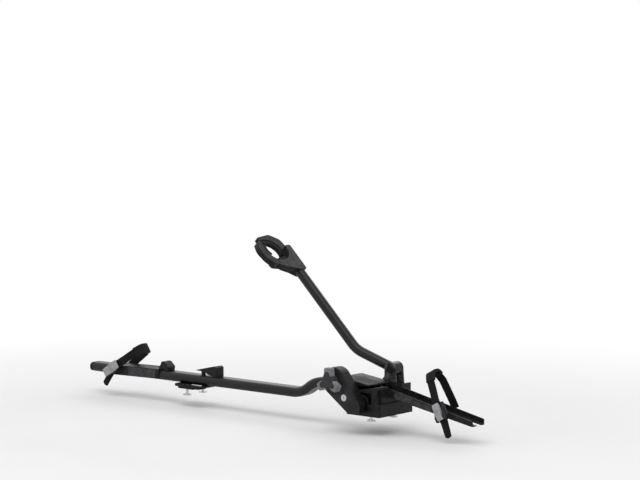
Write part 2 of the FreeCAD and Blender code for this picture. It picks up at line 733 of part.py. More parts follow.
knob_back_y = housing_near_y - knob_gap
knob_front_y = knob_back_y - knob_body_depth
cap_front_y = knob_front_y - knob_cap_depth
grip_edge = 2.0
cap_edge = 0.8
core = rod_y(knob_x, knob_z, knob_core_radius, knob_front_y, knob_back_y)
nodes["knob_body"] = core.cut(rod_y(knob_x, knob_z, spindle_radius, knob_front_y + 4, knob_back_y + 1))
grips = []
for degrees in lobe_angles:
    c = math.cos(math.radians(degrees))
    s = math.sin(math.radians(degrees))
    grip_plan = [
        (knob_x + along * c - across * s, knob_z + along * s + across * c, corner) for along, across, corner in (
            (0, -knob_grip_root, 0), (knob_lobe_reach, -knob_grip_end, knob_grip_corner),
            (knob_lobe_reach, knob_grip_end, knob_grip_corner), (0, knob_grip_root, 0))]
    grip = plate_xz(grip_plan, knob_front_y, knob_front_y + knob_grip_depth).cut(core)
    rim = [e for e in grip.Edges if abs(e.CenterOfMass.y - knob_front_y) < 0.01
           and e.distToShape(Part.Vertex(V(knob_x, knob_front_y, knob_z)))[0] > knob_core_radius - 0.5
           and not all(abs(math.hypot(v.X - knob_x, v.Z - knob_z) - knob_core_radius) < 0.01 for v in e.Vertexes)]
    grips.append(grip.makeFillet(grip_edge, rim))
nodes["knob_grips"] = Part.makeCompound(grips)
knob_cap = fused([rod_y(knob_x, knob_z, knob_cap_waist_radius, cap_front_y, knob_front_y)] + [
    lobe_bar(degrees, knob_cap_reach, knob_cap_lobe_radius, knob_cap_waist_radius * 0.62, cap_front_y, knob_front_y)
    for degrees in lobe_angles])
cap_rim = [e for e in knob_cap.Edges if abs(e.CenterOfMass.y - cap_front_y) < 0.01]
nodes["knob_cap"] = knob_cap.makeFillet(cap_edge, cap_rim)
spindle_far_y = housing_far_y + 34
spindle = rod_y(knob_x, knob_z, spindle_radius, knob_front_y + 4, spindle_far_y)
nodes["knob_spindle"] = spindle
cowl = nodes["drive_cover"].cut(rod_y(knob_x, knob_z, spindle_bore, housing_far_y - 1, cowl_far_y + 1))
nodes["drive_cover"] = cowl

# Arm: a hub on the pivot, a low leg, one bend and the long straight leg up to the frame holder
low_dir = V(-math.cos(math.radians(arm_low_angle)), 0, math.sin(math.radians(arm_low_angle)))
high_dir = V(-math.cos(math.radians(arm_angle)), 0, math.sin(math.radians(arm_angle)))
high_normal = V(math.sin(math.radians(arm_angle)), 0, math.cos(math.radians(arm_angle)))
pivot = V(pivot_x, arm_y, pivot_z)


def along(point, direction, distance):
    return V(point.x + direction.x * distance, point.y + direction.y * distance, point.z + direction.z * distance)


corner = along(pivot, low_dir, arm_corner_distance)
arm_turn = math.radians(arm_angle - arm_low_angle)
bend_cut = arm_bend_radius * math.tan(arm_turn / 2)
bend_in = along(corner, low_dir, -bend_cut)
bend_out = along(corner, high_dir, bend_cut)
bisector = V(high_dir.x - low_dir.x, 0, high_dir.z - low_dir.z)
bisector.normalize()
bend_centre = along(corner, bisector, arm_bend_radius / math.cos(arm_turn / 2))
bend_mid = along(bend_centre, bisector, -arm_bend_radius)
holder_origin = along(corner, high_dir, holder_start)
arm_end_s = root_end - 6.0


def arm_tube(radius, start, end_s):
    path = Part.Wire([
        Part.LineSegment(along(pivot, low_dir, start), bend_in).toShape(),
        Part.Arc(bend_in, bend_mid, bend_out).toShape(),
        Part.LineSegment(bend_out, along(holder_origin, high_dir, end_s)).toShape(),
    ])
    circle = Part.Wire([Part.Circle(along(pivot, low_dir, start), low_dir, radius).toShape()])
    return path.makePipeShell([circle], True, False)


hub = rod_y(pivot_x, pivot_z, hub_radius, arm_y - hub_width / 2, arm_y + hub_width / 2)
hub_neck = arm_tube(arm_radius - arm_wall - 0.02, 4, 0).common(
    box(pivot_x - hub_radius - 36, pivot_x + 4, arm_y - 30, arm_y + 30, pivot_z - 40, pivot_z + 60))
hub_start = hub_radius - 3.0
hub = fused([hub, hub_neck])
hub = hub.cut(rod_y(pivot_x, pivot_z, pin_radius + pin_clearance, arm_y - 30, arm_y + 30))
arm_outer = arm_tube(arm_radius, hub_start, arm_end_s)
arm_inner = arm_tube(arm_radius - arm_wall, hub_start - 2, arm_end_s + 2)
arm = arm_outer.cut(arm_inner).cut(rod_y(pivot_x, pivot_z, hub_radius, arm_y - 30, arm_y + 30))
nodes["arm_hub"] = hub
nodes["arm_tube"] = arm

# Frame holder: outlines are drawn with s along the arm, v towards the near side and the face upwards
to_holder = FreeCAD.Placement(V(holder_origin.x, 0, holder_origin.z),
                              FreeCAD.Rotation(high_dir, V(0, -1, 0), high_normal, "ZXY"))


def placed(shape):
    shape = shape.copy()
    shape.Placement = to_holder.multiply(shape.Placement)
    return shape


def ring_sector(r0, r1, from_deg, to_deg, z0, z1, tip0=0.0, tip1=0.0):
    """Curved bar about the gripped tube; tip0 and tip1 thin its outer side at the two ends."""
    def at(r, deg):
        t = math.radians(deg)
        return V(grip_s + r * math.cos(t), r * math.sin(t), z0)
    mid = (from_deg + to_deg) / 2
    wire = Part.Wire([
        Part.Arc(at(r0, from_deg), at(r0, mid), at(r0, to_deg)).toShape(),
        Part.LineSegment(at(r0, to_deg), at(r1 - tip1, to_deg)).toShape(),
        Part.Arc(at(r1 - tip1, to_deg), at(r1 - (tip0 + tip1) * 0.25, mid), at(r1 - tip0, from_deg)).toShape(),
        Part.LineSegment(at(r1 - tip0, from_deg), at(r0, from_deg)).toShape(),
    ])
    return Part.Face(wire).extrude(V(0, 0, z1 - z0))


body_top = face_off - cover_thickness
claw_top = face_off
near_claw_low = palm_low_off + layer_gap
far_claw_top = palm_low_off - layer_gap
far_claw_low = far_claw_top - claw_layer

palm_outline = [
    (root_start, -root_far_y, 6), (root_start + 1, -root_near_y - 18, 4), (50, 0, 14), (60, 28, 3),
    (78, 16, 0), (84, 8, 0), (grip_s - grip_claw_radius + 6, -24, 0), (grip_s, -grip_claw_radius - 1, 0),
    (grip_s + 6, -grip_claw_radius - 2, 3), (grip_s + 6, -root_far_y, 5),
]
mouth = rod_z(grip_s, 0, grip_claw_radius, -40, 40)
mouth = mouth.fuse(box(grip_s, grip_s + 90, -grip_claw_radius, 140, -40, 40))
palm = plate_xy(palm_outline, palm_low_off, body_top)
root_outline = [
    (root_start, -root_far_y, 6), (root_start, -root_near_y - 22, 6), (root_end - 14, -root_near_y - 2, 12),
    (root_end, 0, 7), (root_end + 8, 2, 3), (root_end + 8, -root_near_y + 4, 4), (root_end, -root_near_y - 4, 4),
    (root_end, -root_far_y, 6),
]
root = plate_xy(root_outline, root_low_off, palm_low_off + 1)
tongue_height = 6.0
tongue = plate_xy([
    (near_pin_s - 20, near_pin_v - 46, 4), (near_pin_s + 10, near_pin_v - 34, 4),
    (near_pin_s + 9, near_pin_v + 9, 8), (near_pin_s - 10, near_pin_v + 9, 8),
], palm_low_off - tongue_height, palm_low_off)

near_claw_outline = [
    (149, 43, 3), (146, 58, 7), (120, 68, 34), (88, 62, 24), (65, 48, 12), (62, 27, 7), (84, 21, 0), (grip_s, 4, 0),
]
far_claw_outline = [
    (177, 19, 5), (184, -34, 20), (162, -66, 20), (122, -73, 22), (84, -70, 11), (69, -61, 9), (69, -44, 8),
    (90, -38, 0), (grip_s, -8, 0), (150, 19, 0),
]
claw_sweep_gap = 0.8
claw_open = 18.0
claw_close = 10.0


def claw_plan(outline, grow):
    face = Part.Face(rounded_wire(outline)).cut(Part.Face(Part.Wire([Part.Circle(
        V(grip_s, 0, 0), V(0, 0, 1), grip_claw_radius - grow).toShape()])))
    face = face.Faces[0]
    return face.makeOffset2D(grow) if grow > 0 else face


def swept(outline, pin_s, pin_v, sign, z0, z1):
    """Room for a claw over its whole swing."""
    plan = claw_plan(outline, claw_sweep_gap).extrude(V(0, 0, z1 - z0))
    plan.translate(V(0, 0, z0))
    room = []
    steps = 7
    for i in range(steps):
        turned = plan.copy()
        angle = -claw_close + (claw_close + claw_open) * i / (steps - 1)
        turned.rotate(V(pin_s, pin_v, 0), V(0, 0, 1), sign * angle)
        room.append(turned)
    return room


def claw(outline, pin_s, pin_v, z0, z1):
    solid = claw_plan(outline, 0).extrude(V(0, 0, z1 - z0))
    solid.translate(V(0, 0, z0))
    return solid


near_room = swept(near_claw_outline, near_pin_s, near_pin_v, 1, palm_low_off, claw_top + 2)
far_room = swept(far_claw_outline, far_pin_s, far_pin_v, -1, root_low_off - 2, palm_low_off)
arm_bore = Part.makeCylinder(arm_radius, root_end - root_start + 2, V(root_start - 8, -arm_y, 0), V(1, 0, 0))
holder_body = fused([palm, root, tongue])
holder_body = without(holder_body, [mouth, arm_bore] + near_room + far_room)
near_pin_hole = rod_z(near_pin_s, near_pin_v, claw_pin_radius, -40, claw_top - 4)
far_pin_hole = rod_z(far_pin_s, far_pin_v, claw_pin_radius, -40, 8)
holder_body = without(holder_body, [near_pin_hole, far_pin_hole])
holder_body = max(holder_body.Solids, key=lambda part: part.Volume)
nodes["holder_body"] = placed(holder_body)

# Flat cover over the holder, with its one screw
cover = plate_xy(palm_outline, body_top, face_off)
cover = without(cover, [mouth, arm_bore] + near_room)
cover = max(cover.Solids, key=lambda part: part.Volume)
cover_screw_s = 48.7
cover_screw_radius = 2.6
screw_low = arm_radius + 0.1
screw = rod_z(cover_screw_s, -arm_y, cover_screw_radius, face_off - 1, face_off + 0.2)
screw = screw.fuse(rod_z(cover_screw_s, -arm_y, 1.2, screw_low, face_off - 1)).removeSplitter()
cover = without(cover, [rod_z(cover_screw_s, -arm_y, cover_screw_radius, face_off - 1, face_off + 1),
                        rod_z(cover_screw_s, -arm_y, 1.2, screw_low - 1, face_off)])
screw = screw.cut(box(cover_screw_s - 1.6, cover_screw_s + 1.6, -arm_y - 0.35, -arm_y + 0.35, face_off - 0.4,
                      face_off + 1))
nodes["holder_cover"] = placed(cover)
nodes["cover_screw"] = placed(screw)

# Claws on their pins, each with a rubber pad; a fixed pad lies in the palm
near_claw = claw(near_claw_outline, near_pin_s, near_pin_v, near_claw_low, claw_top)
near_claw = near_claw.cut(rod_z(near_pin_s, near_pin_v, claw_pin_radius + claw_pin_clearance, -40, claw_top - 3.5))
far_claw = claw(far_claw_outline, far_pin_s, far_pin_v, far_claw_low, far_claw_top)
far_claw = far_claw.cut(rod_z(far_pin_s, far_pin_v, claw_pin_radius + claw_pin_clearance, -40, 40))
pad_inset = 1.5
near_pad = ring_sector(grip_pad_radius, grip_claw_radius, 66, 126, near_claw_low + pad_inset, claw_top - pad_inset)
far_pad = ring_sector(grip_pad_radius, grip_claw_radius, -110, 14, far_claw_low + pad_inset, far_claw_top - pad_inset)
palm_pad = ring_sector(grip_pad_radius, grip_claw_radius, 168, 212, palm_low_off + pad_inset, body_top - pad_inset)
tongue_low = palm_low_off - tongue_height
near_pin = rod_z(near_pin_s, near_pin_v, claw_pin_radius, tongue_low, claw_top - 4).fuse(
    rod_z(near_pin_s, near_pin_v, claw_pin_head_radius, tongue_low - claw_pin_head_height, tongue_low))
far_pin = rod_z(far_pin_s, far_pin_v, claw_pin_radius, far_claw_low - 0.3, 8).fuse(
    rod_z(far_pin_s, far_pin_v, claw_pin_head_radius, far_claw_low - 0.3 - claw_pin_head_height, far_claw_low - 0.3))
nodes["near_claw"] = placed(near_claw)
nodes["near_claw_pad"] = placed(near_pad)
nodes["far_claw"] = placed(far_claw)
nodes["far_claw_pad"] = placed(far_pad)
nodes["palm_pad"] = placed(palm_pad)
nodes["near_claw_pin"] = placed(near_pin.removeSplitter())
nodes["far_claw_pin"] = placed(far_pin.removeSplitter())

# Pull rod inside the straight leg, carried by two guides
rod_radius = 3.0
rod_low_s = 30.0 - holder_start + bend_cut
guide_length = 12.0
rod_end_s = arm_end_s - 2.0
pull_rod = Part.makeCylinder(rod_radius, rod_end_s - rod_low_s, V(rod_low_s, -arm_y, 0), V(1, 0, 0))
guides = []
for s in (rod_low_s + 10, rod_end_s - 10 - guide_length):
    guide = Part.makeCylinder(arm_radius - arm_wall, guide_length, V(s, -arm_y, 0), V(1, 0, 0))
    guides.append(placed(guide.cut(pull_rod)))
nodes["pull_rod"] = placed(pull_rod)
nodes["rod_guides"] = Part.makeCompound(guides)

# Front tray: a sloping trough with rounded walls, open at its front end
tray_high_slope = (tray_rear_height - tray_front_height) / (tray_front_x - tray_rear_x)


def tray_top(x):
    return tray_low(x) + tray_rear_height - (x - tray_rear_x) * tray_high_slope


tray_side = [
    (tray_rear_x, tray_low(tray_rear_x), 0), (tray_front_x, tray_low(tray_front_x), 5),
    (tray_front_x, tray_top(tray_front_x), 7), (tray_rear_x, tray_top(tray_rear_x), 3),
]
tray_plan = [
    (tray_rear_x, -tray_half_width, 0), (tray_front_x, -tray_half_width, 13), (tray_front_x, tray_half_width, 13),
    (tray_rear_x, tray_half_width, 0),
]
trough_side = [
    (tray_rear_x - 5, tray_low(tray_rear_x - 5) + tray_floor + 3, 0),
    (tray_front_x + 5, tray_low(tray_front_x + 5) + tray_floor, 0),
    (tray_front_x + 5, open_z, 0), (tray_rear_x - 5, open_z, 0),
]
tray_inner_half = tray_half_width - tray_wall
tray = plate_xz(tray_side, -tray_half_width, tray_half_width).common(plate_xy(tray_plan, -60, 120))
tray = tray.cut(plate_xz(trough_side, -tray_inner_half, tray_inner_half))
notch = plate_xy([
    (tray_front_x - tray_slot_length, -tray_slot_width / 2, 8), (tray_front_x + 20, -tray_slot_width / 2, 0),
    (tray_front_x + 20, tray_slot_width / 2, 0), (tray_front_x - tray_slot_length, tray_slot_width / 2, 8)], -60, 40)
tray_screw_x = 26.0
tray_screw_y = 13.0
screw_head_radius = 4.2
tray_screw_depth = 17.0
tray_screws = []
for side in (-1, 1):
    z = tray_low(tray_screw_x) + tray_floor + 3
    bore = rod_z(tray_screw_x, side * tray_screw_y, 2.0, z - tray_screw_depth - 1, z + 5)
    nodes["base_housing"] = nodes["base_housing"].cut(bore)
    seat = rod_z(tray_screw_x, side * tray_screw_y, screw_head_radius + 0.3, z - 1.6, z + 6)
    tray = without(tray, [bore, seat])
    tray_screw = rod_z(tray_screw_x, side * tray_screw_y, 2.0, z - tray_screw_depth, z - 1.6).fuse(
        rod_z(tray_screw_x, side * tray_screw_y, screw_head_radius, z - 1.6, z + 0.8)).removeSplitter()
    tray_screws.append(tray_screw.cut(box(tray_screw_x - 3, tray_screw_x + 3, side * tray_screw_y - 0.5,
                                          side * tray_screw_y + 0.5, z, z + 2)))
tray = tray.cut(notch)
nodes["front_tray"] = tray
nodes["tray_screws"] = Part.makeCompound(tray_screws)


def tray_plate(x0, x1, thickness, drop):
    return plate_xz([
        (x0, tray_low(x0) + label_margin, 2), (x1, tray_low(x1) + label_margin, 2),
        (x1, tray_top(x1) - drop, 2), (x0, tray_top(x0) - drop, 2)],
        -tray_half_width - thickness, -tray_half_width)


nodes["front_label_plate"] = tray_plate(front_label_rear_x, front_label_front_x, label_thickness, label_margin)
nodes["tray_side_plate"] = tray_plate(front_label_front_x + 2, guide_front_x, label_thickness - 0.4, label_margin + 2)


# Straps
def band_outline(points, thickness):
    """Closed outline of a band about an open run of (a, b, radius) points."""
    left = []
    right = []
    count = len(points)
    for i in range(count):
        a, b, r = points[i]
        directions = []
        if i > 0:
            da = a - points[i - 1][0]
            db = b - points[i - 1][1]
            n = math.hypot(da, db)
            directions.append((da / n, db / n))
        if i < count - 1:
            da = points[i + 1][0] - a
            db = points[i + 1][1] - b
            n = math.hypot(da, db)
            directions.append((da / n, db / n))
        ta = sum(d[0] for d in directions) / len(directions)
        tb = sum(d[1] for d in directions) / len(directions)
        scale = 1 / (ta * ta + tb * tb)
        oa = -tb * scale * thickness / 2
        ob = ta * scale * thickness / 2
        turn = 0
        if len(directions) == 2:
            turn = directions[0][0] * directions[1][1] - directions[0][1] * directions[1][0]
        grow = thickness / 2 if turn < 0 else -thickness / 2
        left.append((a + oa, b + ob, max(r + grow, 0) if r > 0 else 0))
        right.append((a - oa, b - ob, max(r - grow, 0) if r > 0 else 0))
    return left + right[::-1]


def strap_frame(x, z, lean):
    t = math.radians(lean)
    d = V(math.cos(t), 0, math.sin(t))
    m = V(math.sin(t), 0, -math.cos(t))
    return FreeCAD.Placement(V(x, 0, z), FreeCAD.Rotation(m, V(0, 1, 0), d, "ZXY"))


def put(shape, frame):
    shape = shape.copy()
    shape.Placement = frame.multiply(shape.Placement)
    return shape


def strap_run(top, wall_y):
    return [
        (-strap_leg_y, buckle_low - 6, 0), (-strap_leg_y, buckle_high + 8, 14), (-strap_tyre_y, buckle_high + 34, 16),
        (-strap_tyre_y + 6, top - 26, 14), (-strap_crown_y, top, 12), (strap_crown_y, top, 12),
        (strap_tyre_y - 6, top - 26, 14), (wall_y + strap_thickness / 2 + 0.3, 16, 16),
        (wall_y + strap_thickness / 2 + 0.3, -8, 0),
    ]


def strap_set(prefix, frame, top, wall_y, tail_length, tail_turn, bend):
    run = strap_run(top, wall_y)
    half = strap_width / 2
    strap = plate_yz(band_outline(run, strap_thickness), -half, half)
    tail_y = -strap_leg_y - strap_thickness / 2
    turn = math.radians(tail_turn)
    narrow = tail_half_width
    axis = (math.sin(turn), -math.cos(turn))
    across = (-axis[1], axis[0])
    start = (0.0, bend)
    end = (start[0] + axis[0] * tail_length, start[1] + axis[1] * tail_length)
    tip = (end[0] + axis[0] * 4, end[1] + axis[1] * 4)
    tail = plate_xz([
        (-half, bend + 6, 0), (-half, bend - 1, 14),
        (end[0] - across[0] * narrow, end[1] - across[1] * narrow, 3), (tip[0], tip[1], 6),
        (end[0] + across[0] * narrow, end[1] + across[1] * narrow, 3), (half, bend - 1, 14),
        (half, bend + 6, 0)], tail_y, tail_y + strap_thickness)
    lower = box(-half - 1, half + 1, -strap_leg_y - 3, -strap_leg_y + 3, buckle_low - 20, bend + 4)
    strap = strap.cut(lower)
    strap = fused([strap, tail])
    nodes[prefix + "_strap"] = put(strap, frame)
    sleeve_run = [p for p in run[3:7]]
    for own, start, end, share in ((0, 3, 4, sleeve_near_share), (3, 6, 5, sleeve_far_share)):
        sleeve_run[own] = (run[start][0] + (run[end][0] - run[start][0]) * share,
                           run[start][1] + (run[end][1] - run[start][1]) * share, 0)
    sleeve = plate_yz(band_outline(sleeve_run, strap_thickness + 2 * rim_pad_thickness), -half - rim_pad_overhang,
                      half + rim_pad_overhang)
    nodes[prefix + "_rim_pad"] = put(sleeve.cut(strap), frame)


def buckle_set(prefix, frame, wall_y, drop, lever_half, lever_top):
    low = buckle_low - drop
    pin_z = lever_pin_z - drop
    plate_outer = -strap_leg_y + strap_thickness / 2 + 0.3
    back = box(-buckle_half_width, buckle_half_width, plate_outer, -wall_y, low, buckle_high)
    cheek_outline = [
        (plate_outer + 0.5, low, 0), (plate_outer + 0.5, buckle_high, 0), (plate_outer - 4, buckle_high, 3),
        (lever_pin_y + 1, pin_z + 16, 8), (lever_pin_y - 5, pin_z + 5, 4),
        (lever_pin_y - 5, low + 1, 4),
        (plate_outer - 4, low, 3),
    ]
    cheeks = []
    for x0 in (-buckle_half_width, buckle_half_width - cheek_thickness):
        cheeks.append(plate_yz(cheek_outline, x0, x0 + cheek_thickness))
    pin_hole = rod_x(lever_pin_y, pin_z, lever_pin_radius, -40, 40)
    tail_way = box(-buckle_half_width - 1, buckle_half_width + 1, -strap_leg_y - strap_thickness / 2 - 0.4, plate_outer,
                   low - 1, tail_way_top)
    body = fused([back] + cheeks).cut(pin_hole).cut(tail_way)
    lever_outline = [
        (lever_pin_y + 5.5, pin_z - 5, 5), (lever_pin_y + 5.5, pin_z + 30, 6),
        (lever_pin_y + 4, lever_top - 5, 3), (lever_pin_y - 1, lever_top, 2),
        (lever_pin_y - 5, lever_top - 11, 8),
        (lever_pin_y - 6, pin_z + 12, 12), (lever_pin_y - 5, pin_z - 5, 5),
    ]
    lever = plate_yz(lever_outline, -lever_half, lever_half)
    lever = lever.cut(rod_x(lever_pin_y, pin_z, lever_pin_radius + 0.05, -40, 40))
    pin = rod_x(lever_pin_y, pin_z, lever_pin_radius, -buckle_half_width, buckle_half_width)
    nodes[prefix + "_buckle_body"] = put(body, frame)
    nodes[prefix + "_buckle_lever"] = put(lever, frame)
    nodes[prefix + "_buckle_pin"] = put(pin, frame)


half_turn = 180.0
front_frame = strap_frame(front_strap_x, front_strap_z, half_turn - front_strap_lean)
rear_frame = strap_frame(rear_strap_x, rear_strap_z, rear_strap_lean)
strap_set("front", front_frame, front_strap_top, tray_half_width, front_tail_length, front_tail_turn,
          front_tail_bend)
strap_set("rear", rear_frame, rear_strap_top, holder_half_width, rear_tail_length, rear_tail_turn,
          rear_tail_bend)
buckle_set("front", front_frame, tray_half_width, front_buckle_drop, front_lever_half_width,
           front_lever_top)
buckle_set("rear", rear_frame, holder_half_width, rear_buckle_drop, rear_lever_half_width,
           rear_lever_top)


# Rear wheel holder: a saddle that slides on the rail, with a chock in front of the wheel
def holder_low(x):
    return holder_low_rear_z + (holder_low_front_z - holder_low_rear_z) * (x - holder_rear_x) / (
        holder_front_x - holder_rear_x)


def holder_top(x):
    return holder_top_rear_z + (holder_top_front_z - holder_top_rear_z) * (x - holder_rear_x) / (
        holder_front_x - holder_rear_x)


holder_side = [
    (holder_rear_x, holder_low(holder_rear_x), 4), (holder_front_x, holder_low(holder_front_x), 4),
    (holder_front_x, holder_top(holder_front_x), 4), (holder_rear_x, holder_top(holder_rear_x), 4),
]
holder_plan = [
    (holder_rear_x, -holder_half_width, 5), (holder_front_x, -holder_half_width, 5),
    (holder_front_x, holder_half_width, 5), (holder_rear_x, holder_half_width, 5),
]
saddle = plate_xz(holder_side, -holder_half_width, holder_half_width).common(plate_xy(holder_plan, 0, 100))
deck_top = rail_top_z + holder_clearance + holder_deck
trough = box(holder_rear_x + 12, holder_front_x - 6, -holder_half_width + 4, holder_half_width - 4, deck_top, 100)
chock_outline = [
    (chock_rear_x, chock_low_z, 0), (chock_rear_x, deck_top + 3, 1), (chock_rear_x + 12, chock_top_z, 5),
    (chock_front_x - 17, chock_top_z, 4), (chock_front_x, chock_top_z - 15, 5), (chock_front_x - 4, chock_low_z, 2),
]
chock = plate_xz(chock_outline, -chock_half_width, chock_half_width)
rail_room = Part.Face(rail_profile(-holder_clearance)).extrude(V(chock_front_x - holder_rear_x + 20, 0, 0))
rail_room.translate(V(holder_rear_x - 10, 0, rail_centre_z))
saddle = fused([saddle.cut(trough), chock]).cut(rail_room)
saddle = saddle.cut(box(holder_rear_x - 1, holder_front_x + 1, -rail_bottom_flat / 2 - 4.0,
                        rail_bottom_flat / 2 + 4.0, 0, rail_low_z + 6))
nodes["rear_holder"] = max(saddle.Solids, key=lambda part: part.Volume)
nodes["rear_label_plate"] = plate_xz([
    (rear_label_rear_x, holder_low(rear_label_rear_x) + label_margin, 2),
    (rear_label_front_x, holder_low(rear_label_front_x) + label_margin, 2),
    (rear_label_front_x, holder_top(rear_label_front_x) - label_margin, 2),
    (rear_label_rear_x, holder_top(rear_label_rear_x) - label_margin, 2)],
    -holder_half_width - label_thickness, -holder_half_width)

# Wedge: a ramp clipped on the rail, standing on two legs
wedge_base_z = rail_top_z
wedge = plate_xz([
    (wedge_rear_x, wedge_tip_z, 0.8), (wedge_leg_rear_x, wedge_tip_z - 1, 0), (wedge_leg_front_x + 6, wedge_hole_z, 2),
    (wedge_hole_front_x, wedge_base_z, 0),
    (wedge_front_x, wedge_base_z, 0), (wedge_front_x, wedge_peak_z - 4, 3), (wedge_front_x - 7, wedge_peak_z, 3)],
    -wedge_half_width, wedge_half_width)
wedge_hollow = plate_xz([
    (wedge_hole_front_x + 3, wedge_base_z - 1, 0), (wedge_front_x - 3, wedge_base_z - 1, 0),
    (wedge_front_x - 3, wedge_peak_z - 9, 2), (wedge_hole_front_x + 3, wedge_peak_z - 14, 2)],
    -wedge_half_width + 3, wedge_half_width - 3)
wedge_screw_x = (wedge_leg_rear_x + wedge_leg_front_x) / 2
wedge_leg = box(wedge_leg_rear_x, wedge_leg_front_x, wedge_leg_y - wedge_leg_depth / 2,
                wedge_leg_y + wedge_leg_depth / 2, wedge_base_z, wedge_tip_z + 1)
wedge = fused([wedge.cut(wedge_hollow), wedge_leg])
rail_wall_low = rail_top_z - rail_wall
wedge_screw = rod_z(wedge_screw_x, wedge_leg_y, 1.6, rail_wall_low, wedge_base_z + 7).fuse(
    rod_z(wedge_screw_x, wedge_leg_y, 2.5, rail_wall_low - 2, rail_wall_low)).removeSplitter()
nodes["rail_wedge"] = wedge.cut(rod_z(wedge_screw_x, wedge_leg_y, 1.6, 0, wedge_base_z + 7))
nodes["wedge_screw"] = wedge_screw
nodes["rail"] = nodes["rail"].cut(rod_z(wedge_screw_x, wedge_leg_y, 1.6, rail_wall_low - 3, wedge_base_z + 1))

# Rear bracket: a plate under the rail, held by a clamp bolt in the rail's slot and by two slot bolts in the bar
rear_top = rail_low_z - rear_gap
plate_rear_x = rear_seat_x + rear_plate_shift - rear_length / 2
plate_front_x = plate_rear_x + rear_length
rear_plan = [
    (plate_rear_x, -rear_half_width, 12), (plate_front_x, -rear_half_width, 12),
    (plate_front_x, rear_half_width, 12), (plate_rear_x, rear_half_width, 12),
]
rear_plate = plate_xy(rear_plan, rear_top - rear_slab, rear_top)
rear_block = plate_xy([
    (rear_seat_x - rear_block_half_x, -rear_block_half_y, 6), (rear_seat_x + rear_block_half_x, -rear_block_half_y, 6),
    (rear_seat_x + rear_block_half_x, rear_block_half_y, 6), (rear_seat_x - rear_block_half_x, rear_block_half_y, 6)],
    pad_height, rear_top - 2.5)
rear_plate = fused([rear_plate, rear_block])
crown = [e for e in rear_plate.Edges if abs(e.CenterOfMass.z - rear_top) < 0.01]
rear_plate = rear_plate.makeFillet(2.0, crown)
rear_nut_floor = pad_height + 3.0
for side in (-1, 1):
    rear_plate = rear_plate.cut(rod_z(rear_seat_x, side * rear_bolt_y, bolt_radius + bolt_clearance, 0, 30))
    rear_plate = rear_plate.cut(rod_z(rear_seat_x, side * rear_bolt_y, washer_radius, rear_nut_floor, 30))
clamp_x = plate_rear_x + clamp_margin
rear_plate = rear_plate.cut(rod_z(clamp_x, 0, clamp_radius + 0.2, 0, 30))
rear_plate = rear_plate.cut(rod_z(clamp_x, 0, nut_across / math.sqrt(3) + 0.5, 0, rear_nut_floor + nut_height - 1))
lever_x = plate_front_x - rear_lever_margin
lever_y = -rear_half_width + 9
lever_stud = 3.0
rear_plate = rear_plate.cut(rod_z(lever_x, lever_y, lever_stud, rear_top - 7, rear_top + 1))
rear_lever = plate_xy([
    (lever_x - rear_lever_length, lever_y - rear_lever_width / 2 + 1.5, 3),
    (lever_x + rear_lever_width / 2, lever_y - rear_lever_width / 2, 4),
    (lever_x + rear_lever_width / 2, lever_y + rear_lever_width / 2, 4),
    (lever_x - rear_lever_length, lever_y + rear_lever_width / 2 - 1.5, 3)], rear_top, rear_top + rear_lever_height)
rear_lever = rear_lever.fuse(rod_z(lever_x, lever_y, lever_stud - 0.05, rear_top - 6, rear_top)).removeSplitter()
nodes["rear_bracket"] = rear_plate
nodes["rear_lever"] = rear_lever
nodes["rear_bar_pad"] = plate_xy([
    (rear_seat_x - rear_seat_length / 2, -rear_seat_width / 2, 4),
    (rear_seat_x + rear_seat_length / 2, -rear_seat_width / 2, 4),
    (rear_seat_x + rear_seat_length / 2, rear_seat_width / 2, 4),
    (rear_seat_x - rear_seat_length / 2, rear_seat_width / 2, 4)], 0, pad_height)
rear_bolt_end = rear_nut_floor + nut_height + 2
nodes["rear_slot_bolts"] = Part.makeCompound([
    slot_bolt(rear_seat_x, side * rear_bolt_y, -bolt_drop - bolt_head_height, rear_bolt_end) for side in (-1, 1)])
nodes["rear_nuts"] = Part.makeCompound([
    hex_nut(rear_seat_x, side * rear_bolt_y, rear_nut_floor, rear_nut_floor + nut_height, nut_across, bolt_radius)
    for side in (-1, 1)])
slot_floor = rail_low_z + rail_wall
clamp_head = plate_xy([
    (clamp_x - 8, -8, 2), (clamp_x + 8, -8, 2), (clamp_x + 8, 8, 2), (clamp_x - 8, 8, 2)], slot_floor + 0.2,
    slot_floor + 3.2)
clamp_bolt = clamp_head.fuse(rod_z(clamp_x, 0, clamp_radius, pad_height - 1, slot_floor + 0.2)).removeSplitter()
nodes["clamp_bolt"] = clamp_bolt
clamp_nut_top = rear_nut_floor + nut_height - 1
nodes["clamp_nut"] = hex_nut(clamp_x, 0, clamp_nut_top - nut_height, clamp_nut_top, nut_across, clamp_radius)

os.makedirs("parts", exist_ok=True)
for name, shape in nodes.items():
    if not shape.isValid():
        print("not valid", name)
    solids = shape.Solids
    shape = solids[0] if len(solids) == 1 else Part.makeCompound(solids)
    shape.exportStep("parts/" + name + ".step")
    box_found = shape.BoundBox
    print(name, len(solids), round(shape.Volume), [round(v, 1) for v in (
        box_found.XMin, box_found.XMax, box_found.YMin, box_found.YMax, box_found.ZMin, box_found.ZMax)])
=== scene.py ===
import bpy
import bmesh
import json
import math
from mathutils import Matrix, Vector


